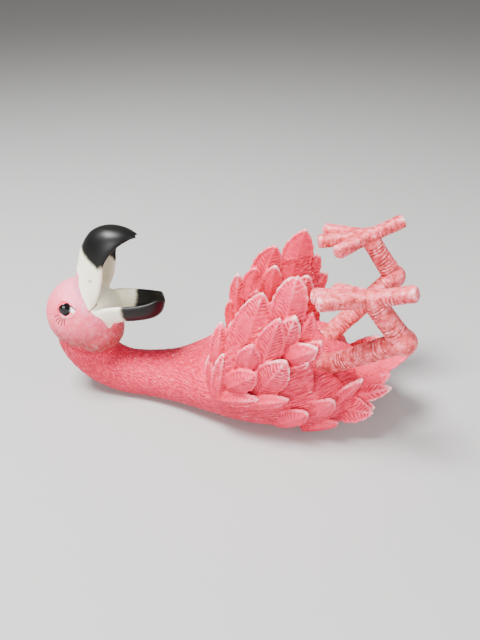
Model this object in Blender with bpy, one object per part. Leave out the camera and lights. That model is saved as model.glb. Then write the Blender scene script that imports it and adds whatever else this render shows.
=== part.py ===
"""Flamingo wine bottle holder: one painted resin casting of a flamingo on its back.

The bird lies along X with its head at -X and its tail at +X. It drinks from the bottle, which
slopes down from the feet, between the raised wings, into the open bill. All lengths are metres.
"""

import math

import bmesh
import bpy
from mathutils import Matrix, Vector

MM = 0.001

# The bottle that the casting holds.
BOTTLE_DIAMETER = 75.0 * MM
BOTTLE_CLEARANCE = 1.0 * MM
BOTTLE_NECK_DIAMETER = 29.0 * MM
NECK_CLEARANCE = 1.0 * MM

# The casting's own thicknesses.
BILL_WALL = 4.2 * MM
WING_THICKNESS = 8.0 * MM
FEATHER_THICKNESS = 5.4 * MM
SHIN_DIAMETER = 16.8 * MM
KNEE_DIAMETER = 22.0 * MM
TOE_DIAMETER = 11.4 * MM
EYE_DIAMETER = 12.5 * MM

# The free form keeps its pose as shares of the length from the crown to the tip of the tail.
# Pose points are written in millimetres of a figure of POSE_LENGTH: X, the distance out from
# the middle and Z, in that order.
FIGURE_LENGTH = 332.0 * MM
POSE_LENGTH = 332.0
SHARE = FIGURE_LENGTH / POSE_LENGTH

BOTTLE_HALF_GAP = BOTTLE_DIAMETER / 2 + BOTTLE_CLEARANCE
BILL_HALF_WIDTH = BOTTLE_NECK_DIAMETER / 2 + NECK_CLEARANCE + BILL_WALL

# Body and neck, from the rump to the nape: x, z, half width, half height.
TRUNK = (
    (138, 26, 8, 5),
    (128, 28, 25, 15),
    (112, 31, 42, 26),
    (90, 34, 51, 34),
    (60, 36, 56.5, 38),
    (30, 35, 55.5, 38),
    (2, 31, 49, 33.5),
    (-22, 25.5, 39, 27),
    (-46, 21.5, 29.5, 22),
    (-72, 20, 23, 20.3),
    (-97, 20.5, 20.5, 20.5),
    (-116, 28, 21, 20.5),
    (-129, 42, 22.5, 22),
    (-135, 58, 24, 23.5),
    (-135, 78, 24, 22),
)
TRUNK_SIDES = 16
TRUNK_STEPS = 2
TRUNK_SQUARENESS = 2.3

HEAD_CENTRE = (-132.5, 0, 82)
HEAD_RADII = (34, 31, 34.5)
JAW_CENTRE = (-119, 0, 64)
JAW_RADII = (22, 27, 17)
EYE = (-139, 24, 100)
THIGH = (80, 38, 42)
THIGH_RADII = (32, 19, 26)

# Each mandible is a trough: its rim line, its back or keel line, and its width as a share.
UPPER_BILL = (
    (-118, 94, -140, 110, 1.14),
    (-109, 111, -133.5, 123, 1.08),
    (-104, 127, -129.5, 136, 1.02),
    (-102, 140, -125, 150, 0.96),
    (-97, 149, -115.5, 164, 0.92),
    (-90, 156.5, -102.5, 170, 0.80),
    (-83, 161, -89, 169.5, 0.57),
    (-76.5, 162.5, -79, 166, 0.28),
)
UPPER_TIP = (-71, 161.5)
LOWER_BILL = (
    (-120, 91, -112, 66, 1.14),
    (-108, 97.5, -102, 75, 1.07),
    (-96, 100, -92, 79, 1.01),
    (-84, 101, -81.5, 80.5, 0.95),
    (-74, 102, -71.5, 82.5, 0.86),
    (-65, 103.5, -63, 85.5, 0.70),
    (-58.5, 105, -57, 91, 0.46),
)
LOWER_TIP = (-53.5, 101)
BILL_ARC_STEPS = 7

# The fan of a wing behind its feathers: z, front x, rear x, and how far its middle stands out
# from the bottle's side.
WING_FAN = (
    (22, 3, 84, 4),
    (45, 1, 84, 11),
    (64, 1, 84, 15),
    (80, 4, 82, 15),
    (95, 15, 81, 14),
    (110, 27, 76, 12),
    (122, 38, 71, 11),
    (129, 44, 66, 10),
)
FAN_SIDES = 10
FAN_SQUARENESS = 2.5

# Feathers of a wing, all standing out from the bottle's side: root, tip, width, arch, point.
# Arch bows the feather outwards, and point runs from 0, a round tip, to 1, a sharp one.
WING_EDGE = (
    ((-1, 7, 42), (-3, 5, 82), 15, 3, 0.2),
    ((2, 7, 68), (5, 4, 112), 16, 3, 0.3),
    ((13, 6, 84), (22, 3, 120), 18, 3, 0.4),
    ((52, 8, 104), (65, 6, 160), 29, 3, 0.6),
    ((62, 12, 94), (78, 13, 133), 20, 3, 0.5),
    ((67, 12, 84), (87, 20, 112), 19, 3, 0.5),
)
# The near wing's front feather is broad, and its top feather curls out to a round tip.
NEAR_FEATHERS = (
    ((20, 13, 74), (39, 5, 144), 33, 3, 0.5),
    ((56, 13, 112), (64, 9, 162), 28, 5, 0.0),
)
FAR_FEATHERS = (((23, 6, 92), (39, 4, 143), 28, 3, 0.5),)
# Feathers on a wing's inner face, towards the bottle.
WING_INNER = (
    ((34, 8, 86), (40, 5, 125), 19, 2, 0.5),
    ((60, 9, 80), (70, 7, 116), 21, 2, 0.5),
    ((20, 9, 60), (23, 7, 97), 20, 2, 0.4),
    ((46, 9, 62), (52, 8, 98), 23, 2, 0.5),
)
WING_COVERTS = (
    ((38, 15, 72), (54, 19, 132), 24, 4, 0.7),
    ((54, 15, 95), (66, 18, 134), 20, 3, 0.6),
    ((58, 17, 90), (85, 22, 109), 20, 3, 0.6),
    ((26, 14, 70), (34, 20, 107), 22, 4, 0.8),
    ((2, 12, 34), (9, 11, 88), 17, 3, 0.1),
    ((12, 16, 56), (38, 21, 79), 23, 4, 0.5),
    ((38, 16, 54), (61, 23, 96), 28, 4, 0.6),
    ((62, 18, 82), (79, 21, 94), 11, 1, 0.5),
    ((3, 14, 41), (41, 20, 51), 15, 4, 0.3),
    ((22, 17, 42), (65, 20, 54), 14, 5, 0.4),
)

# Feathers of a flank and of the tail: root, tip, width, arch, point and the way they face.
FLANK = (
    ((80, 47, 24), (100, 55, 57), 22, 3, 0.4, (0.2, 1, 0.1)),
    ((52, 50, 18), (81, 59, 43), 20, 3, 0.2, (0.1, 1, 0.1)),
    ((94, 34, 30), (136, 40, 31), 25, 2, 0.8, (0.1, 1, 0.6)),
    ((76, 41, 7), (107, 49, 28), 15, 2, 0.3, (0, 1, -0.2)),
)
NEAR_PLUME = ((98, 42, 34), (121, 49, 77), 14, 2, 1.0, (0.4, 1, 0))
TAIL = (
    ((108, 10, 44), (165.5, 6, 73), 30, 4, 0.5, (-0.5, 0.3, 1)),
    ((104, 18, 36), (149, 22, 59), 22, 3, 0.5, (-0.4, 0.7, 1)),
    ((104, 24, 28), (150, 30, 53), 16, 3, 0.4, (-0.3, 1, 0.6)),
    ((104, 28, 26), (138, 32, 31), 16, 2, 0.5, (-0.3, 1, 0.6)),
)
TAIL_MIDDLE = ((104, 0, 26), (150, 0, 42), 34, 4, 0.6, (-0.3, 0, 1))
FAR_PLUME = ((108, 40, 34), (142, 42, 57), 12, 2, 0.0, (0, -1, 0.6))
LEAF_STATIONS = (0.0, 0.42, 0.82)
LEAF_WIDEST = 0.48
# Sections of a feather, across and outwards as shares of half its width and thickness: one
# that lies on the wing, and one of the wing's edge, which is carved on both faces.
COVERT_SECTION = ((1, -0.25), (0.55, 0.9), (0, 0.55), (-0.55, 0.9), (-1, -0.25), (0, -1))
EDGE_SECTION = ((1, 0), (0.5, 0.9), (-0.5, 0.9), (-1, 0), (-0.5, -0.9), (0.5, -0.9))
LEAF_ROOT_WIDTH = 0.78
LEAF_TAPER = 0.4
# Exponents of a feather's outline: of a round tip, and how much more a sharp one has.
ROUND_TIP = 0.5
TIP_RANGE = 0.45

# Joints of a leg and foot, out from the bottle's side, and the toes' free ends. The near knee
# stands a little higher than the far one, and the near inner toe ends a little lower.
LEG_ROOT = (82, -21, 55)
KNEES = {-1: (147, 18, 116), 1: (147, 18, 113)}
HUB = (120, 18, 151)
HIND_TOE = (150, 28, 164)
MIDDLE_TOE = (76, 11, 146)
INNER_TOES = {-1: (93, -8, 142), 1: (93, -8, 145)}
OUTER_TOE = (80, 29, 150)
# Thicknesses along a leg, as shares of the shin: its root, and the ruff of down round it, which
# covers this stretch of the way to the knee.
LEG_ROOT_SHARE = 1.1
CUFF_STRETCH = (0.13, 0.24)
CUFF_SHARES = (1.3, 1.05)
# The rounded end of a toe, and the ball where the toes meet, as shares of the toe's thickness.
TOE_END_LENGTH = 0.2
TOE_END_WIDTH = 0.72
FOOT_BALL_SHARE = 1.44
TOE_ROOT_SHIFT = 0.04
LIMB_SIDES = 10
TOE_SIDES = 7
SHARP_ANGLE = math.radians(40)


def pose(x, out, z, side=1):
    """A pose point at full size, on one side of the bird."""
    return Vector((x, out * side, z)) * SHARE


def beside_bottle(x, out, z, side):
    """A pose point that stands out from the bottle's side, so that the bottle still fits."""
    return Vector((x * SHARE, side * (BOTTLE_HALF_GAP + out * SHARE), z * SHARE))


def curve_value(a, b, c, d, t):
    """A Catmull-Rom curve between b and c, with a before them and d after them."""
    slope = (c - a) * t
    bend = (2 * a - 5 * b + 4 * c - d) * t**2
    twist = (3 * b - a - 3 * c + d) * t**3
    return 0.5 * (2 * b + slope + bend + twist)


def smooth_path(points, steps):
    """The rows of points with steps - 1 rows of a smooth curve between each two."""
    rows = [tuple(p) for p in points]
    ends = [rows[0], *rows, rows[-1]]
    found = []
    for i in range(1, len(ends) - 2):
        for k in range(steps):
            values = zip(*ends[i - 1 : i + 3])
            found.append(tuple(curve_value(*four, k / steps) for four in values))
    return found + [rows[-1]]


def skin(name, rings, tip=None):
    """A closed solid grown from the first ring to the last by extrusion, with a flat end or a tip."""
    mesh = bmesh.new()
    base = mesh.faces.new([mesh.verts.new(point) for point in rings[0]])
    cap = base
    for ring, following in zip(rings, rings[1:]):
        grown = bmesh.ops.extrude_face_region(mesh, geom=[cap])["geom"]
        if cap is not base:
            bmesh.ops.delete(mesh, geom=[cap], context="FACES_ONLY")
        cap = next(item for item in grown if isinstance(item, bmesh.types.BMFace))
        for corner in cap.verts:
            gaps = [(point - corner.co).length_squared for point in ring]
            corner.co = following[gaps.index(min(gaps))]
    if tip is not None:
        end = bmesh.ops.poke(mesh, faces=[cap])["verts"][0]
        end.co = tip
    bmesh.ops.recalc_face_normals(mesh, faces=mesh.faces)
    return finish(name, mesh)


def finish(name, mesh):
    """Turns a bmesh into an object in the scene."""
    bmesh.ops.triangulate(mesh, faces=mesh.faces)
    data = bpy.data.meshes.new(name)
    mesh.to_mesh(data)
    mesh.free()
    data.shade_smooth()
    data.set_sharp_from_angle(angle=SHARP_ANGLE)
    made = bpy.data.objects.new(name, data)
    bpy.context.scene.collection.objects.link(made)
    return made


def turn(count, start=0.0):
    """The angles of count points round a full turn."""
    return [start + 2 * math.pi * i / count for i in range(count)]


def squared(value, exponent):
    """A sine or cosine pushed towards a rounded square by the exponent."""
    return math.copysign(abs(value) ** (2 / exponent), value)


def trunk():
    """Body and neck in one sweep: it runs forward along the ground and curls up at the nape."""
    rows = smooth_path(TRUNK, TRUNK_STEPS)
    rings = []
    for i, (x, z, half_width, half_height) in enumerate(rows):
        ahead = rows[min(i + 1, len(rows) - 1)]
        behind = rows[max(i - 1, 0)]
        along = Vector((ahead[0] - behind[0], 0, ahead[1] - behind[1])).normalized()
        up = Vector((along.z, 0, -along.x))
        rings.append(
            [
                pose(x, 0, z)
                + Vector((0, half_width * SHARE * squared(math.cos(a), TRUNK_SQUARENESS), 0))
                + up * half_height * SHARE * squared(math.sin(a), TRUNK_SQUARENESS)
                for a in turn(TRUNK_SIDES)
            ]
        )
    return skin("trunk", rings)


def egg(name, centre, radii, segments, rings):
    """An ellipsoid with its poles on the Y axis."""
    mesh = bmesh.new()
    bmesh.ops.create_uvsphere(mesh, u_segments=segments, v_segments=rings, radius=1.0)
    bmesh.ops.rotate(mesh, verts=mesh.verts, matrix=Matrix.Rotation(math.pi / 2, 3, "X"))
    bmesh.ops.scale(mesh, verts=mesh.verts, vec=radii)
    bmesh.ops.translate(mesh, verts=mesh.verts, vec=centre)
    return finish(name, mesh)


def mandible(name, stations, tip):
    """Half of the bill, hollowed into a trough that takes the bottle's neck."""
    rings = []
    for rim_x, rim_z, back_x, back_z, width in stations:
        rim = pose(rim_x, 0, rim_z)
        depth = pose(back_x, 0, back_z) - rim
        half = BILL_HALF_WIDTH * width
        wall = min(BILL_WALL, 0.45 * half, 0.45 * depth.length)
        hollow = depth * (1 - wall / depth.length)
        arc = [math.pi * i / BILL_ARC_STEPS for i in range(BILL_ARC_STEPS + 1)]
        outer = [rim + depth * math.sin(a) - Vector((0, half * math.cos(a), 0)) for a in arc]
        inner = [
            rim + hollow * math.sin(a) - Vector((0, (half - wall) * math.cos(a), 0))
            for a in reversed(arc)
        ]
        rings.append(outer + inner)
    return skin(name, rings, pose(tip[0], 0, tip[1]))


def leaf(name, root, tip, face, width, arch, point, profile):
    """A carved feather: pillowed vanes with a groove for the shaft between them."""
    along = tip - root
    normal = (face - along * face.dot(along) / along.length_squared).normalized()
    across = along.cross(normal).normalized()
    rings = []
    for s in LEAF_STATIONS:
        if s < LEAF_WIDEST:
            share = 1 - (1 - LEAF_ROOT_WIDTH) * (1 - s / LEAF_WIDEST) ** 2
        else:
            past = (s - LEAF_WIDEST) / (1 - LEAF_WIDEST)
            share = (1 - past**2) ** (ROUND_TIP + TIP_RANGE * point)
        half = width / 2 * share
        thick = FEATHER_THICKNESS / 2 * (1 - LEAF_TAPER * s)
        middle = root + along * s + normal * arch * 4 * s * (1 - s)
        rings.append([middle + across * half * u + normal * thick * v for u, v in profile])
    return skin(name, rings, tip)


def wing_leaf(name, side, feather, section, outwards=1):
    """A feather that stands beside the bottle and faces outwards, or inwards at -1."""
    root, tip, width, arch, point = feather
    ends = beside_bottle(*root, side), beside_bottle(*tip, side)
    face = Vector((0, side * outwards, 0.15))
    return leaf(name, *ends, face, width * SHARE, arch * SHARE, point, section)


def body_leaf(name, side, feather):
    """A feather of the flank or tail, placed on the body."""
    root, tip, width, arch, point, facing = feather
    face = Vector((facing[0], facing[1] * side, facing[2]))
    ends = pose(*root, side), pose(*tip, side)
    return leaf(name, *ends, face, width * SHARE, arch * SHARE, point, COVERT_SECTION)


def wing_fan(name, side):
    """The solid of a wing that its feathers stand on."""
    thick = WING_THICKNESS / 2
    rings = []
    for z, front, rear, out in WING_FAN:
        centre = beside_bottle((front + rear) / 2, out, z, side)
        half = (rear - front) / 2 * SHARE
        rings.append(
            [
                centre
                + Vector((half * math.cos(a), thick * squared(math.sin(a), FAN_SQUARENESS), 0))
                for a in turn(FAN_SIDES)
            ]
        )
    return skin(name, rings)


def limb(name, points, radii, sides=LIMB_SIDES):
    """A round limb through the points."""
    rows = [tuple(p) + (r,) for p, r in zip(points, radii)]
    rings = []
    reference = Vector((0, 1, 0))
    for i, (x, y, z, radius) in enumerate(rows):
        ahead = Vector(rows[min(i + 1, len(rows) - 1)][:3])
        behind = Vector(rows[max(i - 1, 0)][:3])
        along = (ahead - behind).normalized()
        across = along.cross(reference).normalized()
        up = across.cross(along)
        rings.append(
            [
                Vector((x, y, z)) + across * radius * math.cos(a) + up * radius * math.sin(a)
                for a in turn(sides)
            ]
        )
    return skin(name, rings)


def twig(name, start, end, diameter):
    """A toe: straight, with a rounded free end."""
    shoulder = end - (end - start).normalized() * diameter * TOE_END_LENGTH
    radius = diameter / 2
    radii = radius, radius, radius * TOE_END_WIDTH
    return limb(name, (start, shoulder, end), radii, TOE_SIDES)


def leg(side, label):
    """Shin, knee, shank and the four toes of one leg."""
    root, knee, hub = (beside_bottle(*p, side) for p in (LEG_ROOT, KNEES[side], HUB))
    shin = SHIN_DIAMETER / 2
    toes = [beside_bottle(*p, side) for p in (MIDDLE_TOE, INNER_TOES[side], OUTER_TOE, HIND_TOE)]
    cuff = [root.lerp(knee, share) for share in CUFF_STRETCH]
    radii = shin * LEG_ROOT_SHARE, shin, shin
    made = [
        limb(f"shin_{label}", (root, root.lerp(knee, 0.4), knee), radii),
        limb(f"cuff_{label}", cuff, [shin * share for share in CUFF_SHARES]),
        egg(f"knee_{label}", knee, (KNEE_DIAMETER / 2,) * 3, 10, 6),
        limb(f"shank_{label}", (knee, knee.lerp(hub, 0.5), hub), radii),
        egg(f"foot_{label}", hub, (TOE_DIAMETER / 2 * FOOT_BALL_SHARE,) * 3, 8, 6),
    ]
    start = hub.lerp(toes[3], TOE_ROOT_SHIFT)
    for i, toe in enumerate(toes):
        made.append(twig(f"toe_{label}_{i}", start if i < 3 else hub, toe, TOE_DIAMETER))
    return made


def pieces():
    """Everything that is fused into the casting, apart from the trunk."""
    made = [
        egg("head", pose(*HEAD_CENTRE), [r * SHARE for r in HEAD_RADII], 16, 10),
        egg("jaw", pose(*JAW_CENTRE), [r * SHARE for r in JAW_RADII], 12, 6),
        mandible("upper_bill", UPPER_BILL, UPPER_TIP),
        mandible("lower_bill", LOWER_BILL, LOWER_TIP),
    ]
    for side, label in ((-1, "near"), (1, "far")):
        made.append(egg(f"eye_{label}", pose(*EYE, side), (EYE_DIAMETER / 2,) * 3, 10, 6))
        thigh = [r * SHARE for r in THIGH_RADII]
        made.append(egg(f"thigh_{label}", pose(*THIGH, side), thigh, 12, 6))
        made.append(wing_fan(f"fan_{label}", side))
        for i, feather in enumerate(WING_EDGE):
            made.append(wing_leaf(f"edge_{label}_{i}", side, feather, EDGE_SECTION))
        for i, feather in enumerate(WING_COVERTS):
            made.append(wing_leaf(f"covert_{label}_{i}", side, feather, COVERT_SECTION))
        for i, feather in enumerate(WING_INNER):
            made.append(wing_leaf(f"inner_{label}_{i}", side, feather, COVERT_SECTION, -1))
        for i, feather in enumerate(FLANK + TAIL):
            made.append(body_leaf(f"flank_{label}_{i}", side, feather))
        made.extend(leg(side, label))
    for i, feather in enumerate(NEAR_FEATHERS):
        made.append(wing_leaf(f"near_{i}", -1, feather, COVERT_SECTION))
    for i, feather in enumerate(FAR_FEATHERS):
        made.append(wing_leaf(f"far_{i}", 1, feather, EDGE_SECTION))
    made.append(body_leaf("tail", 1, TAIL_MIDDLE))
    made.append(body_leaf("near_plume", -1, NEAR_PLUME))
    made.append(body_leaf("far_plume", 1, FAR_PLUME))
    return made


def ground():
    """Everything below the surface that the casting stands on, which grinds the underside flat."""
    mesh = bmesh.new()
    bmesh.ops.create_cube(mesh, size=FIGURE_LENGTH * 2)
    bmesh.ops.translate(mesh, verts=mesh.verts, vec=(0, 0, -FIGURE_LENGTH))
    return finish("ground", mesh)


def resin():
    """Pink painted resin."""
    material = bpy.data.materials.new("painted_resin")
    material.use_nodes = True
    shader = material.node_tree.nodes["Principled BSDF"]
    shader.inputs["Base Color"].default_value = (0.80, 0.22, 0.28, 1)
    shader.inputs["Roughness"].default_value = 0.5
    return material


def main():
    for old in list(bpy.data.objects):
        bpy.data.objects.remove(old)
    casting = trunk()
    casting.name = "flamingo"
    group = bpy.data.collections.new("fused")
    bpy.context.scene.collection.children.link(group)
    for piece in pieces():
        bpy.context.scene.collection.objects.unlink(piece)
        group.objects.link(piece)
        piece.hide_render = True
        piece.display_type = "WIRE"
    fuse = casting.modifiers.new("fuse", "BOOLEAN")
    fuse.operation = "UNION"
    fuse.operand_type = "COLLECTION"
    fuse.collection = group
    fuse.solver = "EXACT"
    fuse.use_self = True
    floor = ground()
    floor.hide_render = True
    floor.display_type = "WIRE"
    trim = casting.modifiers.new("trim", "BOOLEAN")
    trim.operation = "DIFFERENCE"
    trim.object = floor
    trim.solver = "EXACT"
    casting.data.materials.append(resin())


main()
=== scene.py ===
"""Flamingo wine bottle holder, dressed: a resin casting with carved feathers, ringed legs and paint.

The casting is one piece. Each of its forms (body, feather, leg, bill) is modelled smooth, the forms
are fused into one skin, and the carving is cut into that skin along the way each form runs.
All lengths are millimetres until the skin is finished.
"""

import itertools
import math

import bmesh
import bpy
import numpy as np
from mathutils import Matrix, Vector
from mathutils.bvhtree import BVHTree
from mathutils.kdtree import KDTree


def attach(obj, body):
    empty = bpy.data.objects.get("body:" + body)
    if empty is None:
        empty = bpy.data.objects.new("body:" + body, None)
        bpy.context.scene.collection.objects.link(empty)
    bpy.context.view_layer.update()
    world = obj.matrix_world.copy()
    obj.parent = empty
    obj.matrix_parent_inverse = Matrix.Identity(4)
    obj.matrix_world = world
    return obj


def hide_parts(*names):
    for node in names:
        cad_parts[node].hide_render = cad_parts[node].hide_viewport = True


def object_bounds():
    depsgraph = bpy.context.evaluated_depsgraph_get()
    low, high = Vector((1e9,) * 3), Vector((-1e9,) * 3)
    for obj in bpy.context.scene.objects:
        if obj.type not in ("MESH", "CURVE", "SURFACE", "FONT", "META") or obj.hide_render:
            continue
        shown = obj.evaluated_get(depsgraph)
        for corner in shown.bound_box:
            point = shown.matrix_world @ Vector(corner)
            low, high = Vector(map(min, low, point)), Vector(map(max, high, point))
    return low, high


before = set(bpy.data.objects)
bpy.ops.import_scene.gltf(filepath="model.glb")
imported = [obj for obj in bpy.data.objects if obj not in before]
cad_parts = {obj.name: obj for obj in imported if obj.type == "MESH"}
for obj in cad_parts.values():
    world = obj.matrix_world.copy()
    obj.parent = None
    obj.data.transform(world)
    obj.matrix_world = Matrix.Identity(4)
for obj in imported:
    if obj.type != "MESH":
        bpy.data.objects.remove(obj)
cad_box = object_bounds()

MM = 0.001

# The gap for the bottle and the casting's thicknesses, as in the solid. The bill's lip is a share
# of the way round it; the leg's root, its cuff and the ball of the foot are shares of their limb.
BOTTLE_HALF_GAP = 38.5
BILL_HALF_WIDTH = 19.7
BILL_WALL = 4.2
BILL_LIP = 0.035
WING_THICKNESS = 8.0
FEATHER_THICKNESS = 5.4
SHIN_RADIUS = 8.4
KNEE_RADIUS = 11.0
TOE_RADIUS = 5.7
TOE_SQUARENESS = 3.2
FOOT_BALL_SHARE = 1.44
LEG_ROOT_SHARE = 1.1
CUFF_SHARES = (1.02, 1.12, 1.34)
CUFF_STRETCH = (0.25, 0.13)
CUFF_RUFFLE = 0.09
EYE_RADII = (6.25, 4.4, 6.25)

# Body and neck, from the rump to the nape: x, z, half width, half height.
TRUNK = (
    (138, 26, 8, 5),
    (128, 28, 25, 15),
    (112, 31, 42, 26),
    (90, 34, 51, 34),
    (60, 36, 56.5, 38),
    (30, 35, 55.5, 38),
    (2, 31, 49, 33.5),
    (-22, 25.5, 39, 27),
    (-46, 21.5, 29.5, 22),
    (-72, 20, 23, 20.3),
    (-97, 20.5, 20.5, 20.5),
    (-116, 28, 21, 20.5),
    (-129, 42, 22.5, 22),
    (-135, 58, 24, 23.5),
    (-135, 78, 24, 22),
)
TRUNK_SQUARENESS = 2.3
TRUNK_SAMPLES = 281

HEAD_CENTRE = (-132.5, 0, 82)
HEAD_RADII = (34, 31, 34.5)
JAW_CENTRE = (-119, 0, 64)
JAW_RADII = (22, 27, 17)
EYE = (-139, 24, 100)
THIGH = (80, 38, 42)
THIGH_RADII = (32, 19, 26)

# Each mandible is a trough: its rim line, its back or keel line, and its width as a share.
UPPER_BILL = (
    (-118, 94, -140, 110, 1.14),
    (-109, 111, -133.5, 123, 1.08),
    (-104, 127, -129.5, 136, 1.02),
    (-102, 140, -125, 150, 0.96),
    (-97, 149, -115.5, 164, 0.92),
    (-90, 156.5, -102.5, 170, 0.80),
    (-83, 161, -89, 169.5, 0.57),
    (-76.5, 162.5, -79, 166, 0.28),
    (-71, 161.5, -71.6, 162.1, 0.02),
)
LOWER_BILL = (
    (-120, 91, -112, 66, 1.14),
    (-108, 97.5, -102, 75, 1.07),
    (-96, 100, -92, 79, 1.01),
    (-84, 101, -81.5, 80.5, 0.95),
    (-74, 102, -71.5, 82.5, 0.86),
    (-65, 103.5, -63, 85.5, 0.70),
    (-58.5, 105, -57, 91, 0.46),
    (-53.5, 101, -54.1, 100.4, 0.02),
)

# The fan of a wing behind its feathers: z, front x, rear x, and how far its middle stands out
# from the bottle's side.
WING_FAN = (
    (22, 3, 84, 4),
    (45, 1, 84, 11),
    (64, 1, 84, 15),
    (80, 4, 82, 15),
    (95, 15, 81, 14),
    (110, 27, 76, 12),
    (122, 38, 71, 11),
    (129, 44, 66, 10),
)

# The slant of the down between a wing's feathers.
FAN_TILT = 0.5

# Feathers of a wing: root, tip, width, arch, point.
WING_EDGE = (
    ((-1, 7, 42), (-3, 5, 82), 15, 3, 0.2),
    ((2, 7, 68), (5, 4, 112), 16, 3, 0.3),
    ((13, 6, 84), (22, 3, 120), 18, 3, 0.4),
    ((52, 8, 104), (65, 6, 160), 29, 3, 0.8),
    ((62, 12, 94), (78, 13, 133), 20, 3, 0.5),
    ((67, 12, 84), (87, 20, 112), 19, 3, 0.5),
)
# The near wing's front feather is broad, and its top feather curls out to a round tip.
NEAR_FEATHERS = (
    ((20, 13, 74), (39, 5, 144), 33, 3, 0.5),
    ((56, 13, 112), (64, 9, 162), 28, 5, 0.0),
)
FAR_FEATHERS = (((23, 6, 92), (39, 4, 143), 28, 3, 0.5),)
# Feathers on a wing's inner face, towards the bottle.
WING_INNER = (
    ((34, 8, 86), (40, 5, 125), 19, 2, 0.5),
    ((60, 9, 80), (70, 7, 116), 21, 2, 0.5),
    ((20, 9, 60), (23, 7, 97), 20, 2, 0.4),
    ((46, 9, 62), (52, 8, 98), 23, 2, 0.5),
)
WING_COVERTS = (
    ((38, 15, 72), (54, 19, 132), 24, 4, 0.7),
    ((54, 15, 95), (66, 18, 134), 20, 3, 0.6),
    ((58, 17, 90), (85, 22, 109), 20, 3, 0.6),
    ((26, 14, 70), (34, 20, 107), 22, 4, 0.8),
    ((2, 12, 34), (9, 11, 88), 17, 3, 0.1),
    ((12, 16, 56), (38, 21, 79), 23, 4, 0.5),
    ((38, 16, 54), (61, 23, 96), 28, 4, 0.6),
    ((62, 18, 82), (79, 21, 94), 11, 1, 0.5),
    ((3, 14, 41), (41, 20, 51), 15, 4, 0.3),
    ((22, 17, 42), (65, 20, 54), 14, 5, 0.4),
)

# Feathers of a flank and of the tail: root, tip, width, arch, point and the way they face.
FLANK = (
    ((80, 47, 24), (100, 55, 57), 22, 3, 0.4, (0.2, 1, 0.1)),
    ((52, 50, 18), (81, 59, 43), 20, 3, 0.2, (0.1, 1, 0.1)),
    ((94, 34, 30), (136, 40, 31), 25, 2, 0.8, (0.1, 1, 0.6)),
    ((76, 41, 7), (107, 49, 28), 15, 2, 0.3, (0, 1, -0.2)),
)
NEAR_PLUME = ((98, 42, 34), (121, 49, 77), 14, 2, 1.0, (0.4, 1, 0))
TAIL = (
    ((108, 10, 44), (165.5, 6, 73), 30, 4, 0.5, (-0.5, 0.3, 1)),
    ((104, 18, 36), (149, 22, 59), 22, 3, 0.5, (-0.4, 0.7, 1)),
    ((104, 24, 28), (150, 30, 53), 16, 3, 0.4, (-0.3, 1, 0.6)),
    ((104, 28, 26), (138, 32, 31), 16, 2, 0.5, (-0.3, 1, 0.6)),
)
TAIL_MIDDLE = ((104, 0, 26), (150, 0, 42), 34, 4, 0.6, (-0.3, 0, 1))
FAR_PLUME = ((108, 40, 34), (142, 42, 57), 12, 2, 0.0, (0, -1, 0.6))
LEAF_WIDEST = 0.48
LEAF_ROOT_WIDTH = 0.78

# Joints of a leg and foot, out from the bottle's side, and the toes' free ends.
LEG_ROOT = (82, -21, 55)
KNEES = {-1: (147, 18, 116), 1: (147, 18, 113)}
HUB = (120, 18, 151)
HIND_TOE = (150, 28, 164)
MIDDLE_TOE = (76, 11, 146)
INNER_TOES = {-1: (93, -8, 142), 1: (93, -8, 145)}
OUTER_TOE = (80, 29, 150)

# The carving: barbs, rim and keel of a feather, rings of a leg, and locks of down.
BARB_PITCH = 3.7
BARB_SLANT = 0.85
BARB_DEPTH = 0.8
RIM_HEIGHT = 0.3
KEEL_HEIGHT = 1.9
TIP_LIFT = 3.2
RING_PITCH = 3.4
TOE_RING_PITCH = 3.0
RING_DEPTH = 0.7
LOCK_SIZE = (10.0, 2.5, 2.5)
LOCK_HEIGHT = 0.8
GROOVE_SHARPNESS = 0.85
LASH_DEPTH = 0.6
LID_HEIGHT = 0.9
PAINT_LIP = (0.35, 0.9)
CREASE_WIDTH = 1.8

# How steeply the strokes of the down climb from the head towards the tail, at places along X.
CLIMB = ((-170, -0.1), (-120, -0.3), (-40, -0.3), (5, 0.05), (60, 0.42), (110, 0.42), (170, 0.3))

# The eye's almond, its lashes, the tick at the corner of the mouth and the crease between head
# and neck, all seen from the side: x and z.
EYE_SPOT = (-137.2, 100.3)
LID_SLOPE = 0.41
LASHES = (
    ((-143.6, 94.4), (-148.3, 91.3)),
    ((-142.6, 92.9), (-147.4, 87.8)),
    ((-141.2, 92.0), (-145.4, 85.4)),
    ((-139.6, 91.5), (-142.1, 84.6)),
    ((-137.8, 91.5), (-138.6, 86.2)),
)
MOUTH_TICK = ((-116.4, 98.1), (-111.9, 102.0))
CREASE = ((-150, 76), (-146.8, 71.4), (-138.6, 57.4), (-129.7, 53.6), (-123, 51))
CREASE += ((-108.8, 55.4), (-99.5, 62))

# The line between the pink face and the cream bill, from the ridge to the chin, seen from the
# side: x and z. The bill is on its +X side.
CREAM_LINE = (
    (-136, 136),
    (-125.6, 126.5),
    (-126.1, 119.3),
    (-122.8, 111.2),
    (-117.8, 100.9),
    (-113.8, 96.2),
    (-107.2, 89.3),
    (-105.4, 85.5),
    (-103.2, 76.8),
    (-102, 60),
)
# The lower edge of the cream at the chin, and where the black of the upper bill starts outside.
CHIN_LINE = ((-110, 68), (-103.2, 76.8), (-99.2, 82), (-97.5, 82), (-96.5, 70))
BLACK_LINE = ((-135, 162), (-118.3, 149.3), (-109.1, 142.2), (-104.8, 138.7))
BLACK_LINE += ((-102.8, 140.7), (-99.2, 145.1))
NOSTRIL = (-113.4, 126.4)

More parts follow.
